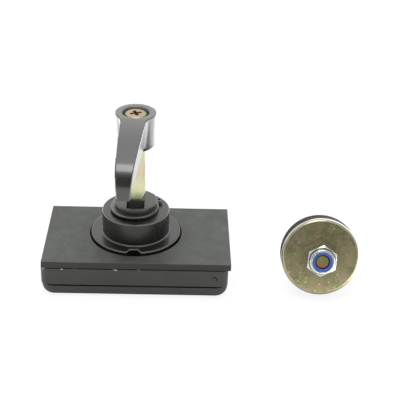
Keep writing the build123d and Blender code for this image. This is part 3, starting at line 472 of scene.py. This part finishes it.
def bright_zinc(name, ring=None):
    """Bright zinc plate: a pale mirror, faintly blue and yellow, broken by small tumbling dents.

    ring is a point and a radius in mm: at that radius round the keeper's axis, a dark line of
    painted shade lies in the corner.
    """
    film_mm, dent_mm, relief_mm = 5, 1.4, 0.05
    material, tree, shader = new_material(name)
    place = add_node(tree, "TexCoord").outputs["Object"]
    film = add_node(tree, "TexNoise", {"Vector": place, "Scale": 1 / (film_mm * MM), "Detail": 4.0})
    last = add_node(tree, "Mix", {0: film.outputs["Fac"], 6: linear("#c6cacd"), 7: linear("#d0cfc5")},
                    data_type="RGBA").outputs[2]
    dents = add_node(tree, "TexNoise", {"Vector": place, "Scale": 1 / (dent_mm * MM), "Detail": 3.0})
    gloss = add_node(tree, "MapRange", {"Value": dents.outputs["Fac"], "To Min": 0.2, "To Max": 0.32})
    bump = add_node(tree, "Bump", {"Height": dents.outputs["Fac"], "Strength": 0.12,
                                   "Distance": relief_mm * MM})
    if ring is not None:
        centre, radius_mm = ring
        outward = add_node(tree, "VectorMath", {0: place, 1: centre}, operation="SUBTRACT")
        around = add_node(tree, "VectorMath", {0: outward.outputs["Vector"], 1: keeper_axis},
                          operation="CROSS_PRODUCT")
        spread = add_node(tree, "VectorMath", {0: around.outputs["Vector"]}, operation="LENGTH")
        off_ring = add_node(tree, "Math", {0: spread.outputs["Value"], 1: radius_mm * MM},
                            operation="SUBTRACT")
        away = add_node(tree, "Math", {0: off_ring.outputs["Value"]}, operation="ABSOLUTE")
        # Painted shade: a dark line in the corner at the ring's radius.
        corner_shade = add_node(tree, "MapRange", {"Value": away.outputs["Value"], "From Min": 0.1 * MM,
                                           "From Max": 0.3 * MM, "To Min": 0.8, "To Max": 0.0})
        last = add_node(tree, "Mix", {0: corner_shade.outputs["Result"], 6: last, 7: linear("#6d7072")},
                        data_type="RGBA").outputs[2]
    tree.links.new(last, shader.inputs["Base Color"])
    tree.links.new(gloss.outputs["Result"], shader.inputs["Roughness"])
    tree.links.new(bump.outputs["Normal"], shader.inputs["Normal"])
    shader.inputs["Metallic"].default_value = 1.0
    return material


# The corner round the nut's collar gets a line of painted shade.
nut_zinc = bright_zinc("bright zinc plated nut", ring=(washer_centre, 6.05))
finish_with(["nyloc_nut"], nut_zinc)
soften_edges(["nyloc_nut"], 0.15)

# Screws, pin, ferrule, stop plate and spacer sleeve: hidden steel pieces, bright zinc plated.
# They hold the case, the housing, the strap, the rotor's tail and the keeper's rear washer.
screw_steel = bright_zinc("bright zinc plated screws and pins")
finish_with(["keeper_sleeve", "case_screws", "housing_screws", "strap_pin", "strap_ferrule", "stop_plate",
             "tail_washer", "tail_screw"], screw_steel)

# Nylon ring in the nut: turned from blue nylon and held by the nut's rolled collar.
# It looks a deep, slightly translucent blue, scuffed where the stud has cut its thread.
insert_nylon, tree, shader = new_material("blue nylon insert")
place = add_node(tree, "TexCoord").outputs["Object"]
scuff_mm, relief_mm = 1.5, 0.08
scuffs = add_node(tree, "TexNoise", {"Vector": place, "Scale": 1 / (scuff_mm * MM), "Detail": 3.0})
dyed = add_node(tree, "Mix", {0: scuffs.outputs["Fac"], 6: linear("#2c4a98"), 7: linear("#4564b4")},
                data_type="RGBA")
bump = add_node(tree, "Bump", {"Height": scuffs.outputs["Fac"], "Strength": 0.2, "Distance": relief_mm * MM})
tree.links.new(dyed.outputs[2], shader.inputs["Base Color"])
tree.links.new(bump.outputs["Normal"], shader.inputs["Normal"])
shader.inputs["Roughness"].default_value = 0.38
shader.inputs["Subsurface Weight"].default_value = 0.15
shader.inputs["Subsurface Scale"].default_value = 1.0 * MM
finish_with(["nylon_insert"], insert_nylon)

# Floor: a large board painted matt white, on which the latch lies and casts its soft shadow.
# The camera sees it almost as plain white. Glossy faces of the latch mirror it as brighter
# to both sides, where the studio's lamps stand, and not in front, where nothing is lit.
board_size, below_ground = 3.0, 0.02 * MM
bpy.ops.mesh.primitive_grid_add(size=board_size, x_subdivisions=4, y_subdivisions=4,
                                location=(0, 0, -below_ground))
floor = bpy.context.active_object
floor.name = "studio_floor"
board, tree, shader = new_material("pale studio board")
shader.inputs["Base Color"].default_value = linear("#f2f2f1")
shader.inputs["Roughness"].default_value = 0.9
shader.inputs["Specular IOR Level"].default_value = 0.0
rays = add_node(tree, "LightPath")
seen_white = add_node(tree, "Emission", {"Color": (1, 1, 1, 1), "Strength": 1.02})
white_share = add_node(tree, "Math", {0: rays.outputs["Is Camera Ray"], 1: 0.86}, operation="MULTIPLY")
seen_board = add_node(tree, "MixShader", {0: white_share.outputs["Value"], 1: shader.outputs["BSDF"],
                                          2: seen_white.outputs["Emission"]})
place = add_node(tree, "TexCoord").outputs["Object"]
across = add_node(tree, "SeparateXYZ", {0: place})
sideways = add_node(tree, "Math", {0: across.outputs["X"]}, operation="ABSOLUTE")
side_light = add_node(tree, "MapRange", {"Value": sideways.outputs["Value"], "From Min": 55 * MM,
                                         "From Max": 85 * MM})
near_light = add_node(tree, "MapRange", {"Value": across.outputs["Y"], "From Min": -180 * MM,
                                         "From Max": -130 * MM})
outward = add_node(tree, "VectorMath", {0: place}, operation="LENGTH")
far_light = add_node(tree, "MapRange", {"Value": outward.outputs["Value"], "From Min": 105 * MM,
                                        "From Max": 135 * MM})
lamp_power = add_node(tree, "MapRange", {"Value": across.outputs["Y"], "From Min": -20 * MM,
                                         "From Max": 60 * MM, "To Min": 4.8, "To Max": 3.4})
lamp_glow = add_node(tree, "Emission", {"Color": (1, 1, 1, 1), "Strength": lamp_power.outputs["Result"]})
lit_band = add_node(tree, "Math", {0: far_light.outputs["Result"], 1: near_light.outputs["Result"]},
                    operation="MULTIPLY")
lit_sides = add_node(tree, "Math", {0: lit_band.outputs["Value"], 1: side_light.outputs["Result"]},
                     operation="MULTIPLY")
mirrored = add_node(tree, "Math", {0: rays.outputs["Is Glossy Ray"], 1: lit_sides.outputs["Value"]},
                    operation="MULTIPLY")
surface = add_node(tree, "MixShader", {0: mirrored.outputs["Value"], 1: seen_board.outputs["Shader"],
                                       2: lamp_glow.outputs["Emission"]})
tree.links.new(surface.outputs["Shader"], tree.nodes["Material Output"].inputs["Surface"])
floor.data.materials.append(board)

# Light: white walls round the table, brightest at the back and above it, with an unlit gap
# at the camera's side, and a square soft box of about half a metre overhead.
world = bpy.data.worlds.new("white studio")
bpy.context.scene.world = world
world.use_nodes = True
tree = world.node_tree
background = tree.nodes["Background"]
towards = add_node(tree, "TexCoord").outputs["Generated"]
direction = add_node(tree, "SeparateXYZ", {0: towards})
back_share = add_node(tree, "MapRange", {"Value": direction.outputs["Y"], "From Min": -0.7,
                                         "From Max": 0.7, "To Min": 0.65, "To Max": 1.5})
gap_direction = (0.0, -0.978, 0.208)
towards_gap = add_node(tree, "VectorMath", {0: towards, 1: gap_direction}, operation="DOT_PRODUCT")
gap_share = add_node(tree, "MapRange", {"Value": towards_gap.outputs["Value"], "From Min": 0.84,
                                        "From Max": 0.98, "To Min": 1.0, "To Max": 0.09},
                     interpolation_type="SMOOTHSTEP")
high_direction = (0.0, 0.5, 0.866)
towards_high = add_node(tree, "VectorMath", {0: towards, 1: high_direction}, operation="DOT_PRODUCT")
high_share = add_node(tree, "MapRange", {"Value": towards_high.outputs["Value"], "From Min": 0.82,
                                         "From Max": 0.97, "To Min": 1.0, "To Max": 1.35})
lit_walls = add_node(tree, "Math", {0: back_share.outputs["Result"], 1: high_share.outputs["Result"]},
                     operation="MULTIPLY")
walls = add_node(tree, "Math", {0: lit_walls.outputs["Value"], 1: gap_share.outputs["Result"]},
                 operation="MULTIPLY")
rays = add_node(tree, "LightPath")
seen = add_node(tree, "Mix", {0: rays.outputs["Is Camera Ray"], 2: walls.outputs["Value"], 3: 1.0},
                data_type="FLOAT")
tree.links.new(seen.outputs[0], background.inputs["Strength"])
background.inputs["Color"].default_value = (1, 1, 1, 1)

lamp = bpy.data.lights.new("overhead_softbox", "AREA")
lamp.size = 0.48
lamp.energy = 3.6
softbox = bpy.data.objects.new("overhead_softbox", lamp)
bpy.context.scene.collection.objects.link(softbox)
softbox_place = Vector((0.0, -0.15, 0.85))
softbox_aim = Vector((0.02, 0.0, 0.03))
softbox.location = softbox_place
softbox.rotation_euler = (softbox_aim - softbox_place).to_track_quat("-Z", "Y").to_euler()

# Camera: where the photographer's stood, about half a metre away and a little above the
# latch, found by fitting the outlines of the gasket, flange, collar, boss and washer.
eye_distance = 0.512137
eye_elevation = math.radians(29.571)
eye_yaw = math.radians(-1.664)
eye_roll = math.radians(1.965)
look_at = Vector((30.973, 31.767, 19.0)) * MM
back = Vector((math.sin(eye_yaw) * math.cos(eye_elevation), -math.cos(eye_yaw) * math.cos(eye_elevation),
               math.sin(eye_elevation)))
level = Vector((math.cos(eye_yaw), math.sin(eye_yaw), 0))
upright = back.cross(level)
right = math.cos(eye_roll) * level + math.sin(eye_roll) * upright
up = math.cos(eye_roll) * upright - math.sin(eye_roll) * level
camera = bpy.data.objects.new("camera", bpy.data.cameras.new("camera"))
bpy.context.scene.collection.objects.link(camera)
camera.data.sensor_width = 36.0
camera.data.lens = 91.13
turn = Matrix((right, up, back)).transposed().to_4x4()
camera.matrix_world = Matrix.Translation(look_at + back * eye_distance) @ turn
bpy.context.scene.camera = camera

bpy.context.scene.view_settings.view_transform = "Standard"
